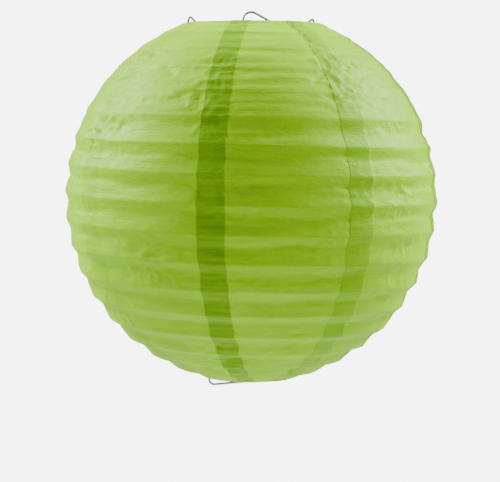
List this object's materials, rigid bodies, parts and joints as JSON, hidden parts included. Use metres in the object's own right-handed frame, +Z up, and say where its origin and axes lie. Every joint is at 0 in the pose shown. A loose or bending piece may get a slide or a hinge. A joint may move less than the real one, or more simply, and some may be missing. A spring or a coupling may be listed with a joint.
{
  "type": "paper lantern",
  "caption": "Round hanging paper lantern: overlapping tissue paper gores on a spiral wire rib, opened by a bent wire expander with a hanging loop.",
  "frame": {"origin": "where a hanging cord bears, at the inner top of the expander's loop", "axes": "+Z up along the lantern's axis; -Y is the front that shows the expander's whole outline, +X to the right"},
  "size_m": [0.3, 0.3, 0.3036],
  "materials": {
    "paper": "satin",
    "rib_wire": "satin",
    "ring_wire": "satin",
    "expander_wire": "satin"
  },
  "bodies": {
    "root": {"top_ring": "ring_wire", "paper_gore_1": "paper", "paper_gore_2": "paper", "paper_gore_3": "paper", "paper_gore_4": "paper", "paper_gore_5": "paper", "paper_gore_6": "paper", "paper_gore_7": "paper", "paper_gore_8": "paper"},
    "bottom_ring": {"bottom_ring": "ring_wire"},
    "rib_turn_01": {"rib_turn_01": "rib_wire"},
    "rib_turn_02": {"rib_turn_02": "rib_wire"},
    "rib_turn_03": {"rib_turn_03": "rib_wire"},
    "rib_turn_04": {"rib_turn_04": "rib_wire"},
    "rib_turn_05": {"rib_turn_05": "rib_wire"},
    "rib_turn_06": {"rib_turn_06": "rib_wire"},
    "rib_turn_07": {"rib_turn_07": "rib_wire"},
    "rib_turn_08": {"rib_turn_08": "rib_wire"},
    "rib_turn_09": {"rib_turn_09": "rib_wire"},
    "rib_turn_10": {"rib_turn_10": "rib_wire"},
    "rib_turn_11": {"rib_turn_11": "rib_wire"},
    "rib_turn_12": {"rib_turn_12": "rib_wire"},
    "rib_turn_13": {"rib_turn_13": "rib_wire"},
    "rib_turn_14": {"rib_turn_14": "rib_wire"},
    "rib_turn_15": {"rib_turn_15": "rib_wire"},
    "rib_turn_16": {"rib_turn_16": "rib_wire"},
    "rib_turn_17": {"rib_turn_17": "rib_wire"},
    "expander": {"expander": "expander_wire"}
  },
  "joints": [
    {"name": "collapse", "type": "slide", "parent": "root", "child": "bottom_ring", "axis": [0, 0, 1], "range_m": [0, 0.2546], "deforming": ["paper_gore_1", "paper_gore_2", "paper_gore_3", "paper_gore_4", "paper_gore_5", "paper_gore_6", "paper_gore_7", "paper_gore_8"]},
    {"name": "rib_turn_01_fold", "type": "slide", "parent": "root", "child": "rib_turn_01", "axis": [0, 0, 1], "range_m": [0, 0.00385]},
    {"name": "rib_turn_02_fold", "type": "slide", "parent": "root", "child": "rib_turn_02", "axis": [0, 0, 1], "range_m": [0, 0.01378]},
    {"name": "rib_turn_03_fold", "type": "slide", "parent": "root", "child": "rib_turn_03", "axis": [0, 0, 1], "range_m": [0, 0.02615]},
    {"name": "rib_turn_04_fold", "type": "slide", "parent": "root", "child": "rib_turn_04", "axis": [0, 0, 1], "range_m": [0, 0.04069]},
    {"name": "rib_turn_05_fold", "type": "slide", "parent": "root", "child": "rib_turn_05", "axis": [0, 0, 1], "range_m": [0, 0.05706]},
    {"name": "rib_turn_06_fold", "type": "slide", "parent": "root", "child": "rib_turn_06", "axis": [0, 0, 1], "range_m": [0, 0.07493]},
    {"name": "rib_turn_07_fold", "type": "slide", "parent": "root", "child": "rib_turn_07", "axis": [0, 0, 1], "range_m": [0, 0.09389]},
    {"name": "rib_turn_08_fold", "type": "slide", "parent": "root", "child": "rib_turn_08", "axis": [0, 0, 1], "range_m": [0, 0.11354]},
    {"name": "rib_turn_09_fold", "type": "slide", "parent": "root", "child": "rib_turn_09", "axis": [0, 0, 1], "range_m": [0, 0.13342]},
    {"name": "rib_turn_10_fold", "type": "slide", "parent": "root", "child": "rib_turn_10", "axis": [0, 0, 1], "range_m": [0, 0.15313]},
    {"name": "rib_turn_11_fold", "type": "slide", "parent": "root", "child": "rib_turn_11", "axis": [0, 0, 1], "range_m": [0, 0.17221]},
    {"name": "rib_turn_12_fold", "type": "slide", "parent": "root", "child": "rib_turn_12", "axis": [0, 0, 1], "range_m": [0, 0.19026]},
    {"name": "rib_turn_13_fold", "type": "slide", "parent": "root", "child": "rib_turn_13", "axis": [0, 0, 1], "range_m": [0, 0.20687]},
    {"name": "rib_turn_14_fold", "type": "slide", "parent": "root", "child": "rib_turn_14", "axis": [0, 0, 1], "range_m": [0, 0.22169]},
    {"name": "rib_turn_15_fold", "type": "slide", "parent": "root", "child": "rib_turn_15", "axis": [0, 0, 1], "range_m": [0, 0.23439]},
    {"name": "rib_turn_16_fold", "type": "slide", "parent": "root", "child": "rib_turn_16", "axis": [0, 0, 1], "range_m": [0, 0.24468]},
    {"name": "rib_turn_17_fold", "type": "slide", "parent": "root", "child": "rib_turn_17", "axis": [0, 0, 1], "range_m": [0, 0.25235]},
    {"name": "expander_lift", "type": "slide", "parent": "root", "child": "expander", "axis": [0, 0, 1], "range_m": [0, 0.33]}
  ],
  "couplings": [
    {"joint": "rib_turn_01_fold", "follows": "collapse", "ratio": 0.01433},
    {"joint": "rib_turn_02_fold", "follows": "collapse", "ratio": 0.05335},
    {"joint": "rib_turn_03_fold", "follows": "collapse", "ratio": 0.10193},
    {"joint": "rib_turn_04_fold", "follows": "collapse", "ratio": 0.15902},
    {"joint": "rib_turn_05_fold", "follows": "collapse", "ratio": 0.22335},
    {"joint": "rib_turn_06_fold", "follows": "collapse", "ratio": 0.29353},
    {"joint": "rib_turn_07_fold", "follows": "collapse", "ratio": 0.368},
    {"joint": "rib_turn_08_fold", "follows": "collapse", "ratio": 0.44515},
    {"joint": "rib_turn_09_fold", "follows": "collapse", "ratio": 0.52327},
    {"joint": "rib_turn_10_fold", "follows": "collapse", "ratio": 0.60066},
    {"joint": "rib_turn_11_fold", "follows": "collapse", "ratio": 0.67562},
    {"joint": "rib_turn_12_fold", "follows": "collapse", "ratio": 0.74651},
    {"joint": "rib_turn_13_fold", "follows": "collapse", "ratio": 0.81176},
    {"joint": "rib_turn_14_fold", "follows": "collapse", "ratio": 0.86996},
    {"joint": "rib_turn_15_fold", "follows": "collapse", "ratio": 0.91983},
    {"joint": "rib_turn_16_fold", "follows": "collapse", "ratio": 0.96027},
    {"joint": "rib_turn_17_fold", "follows": "collapse", "ratio": 0.99039}
  ]
}
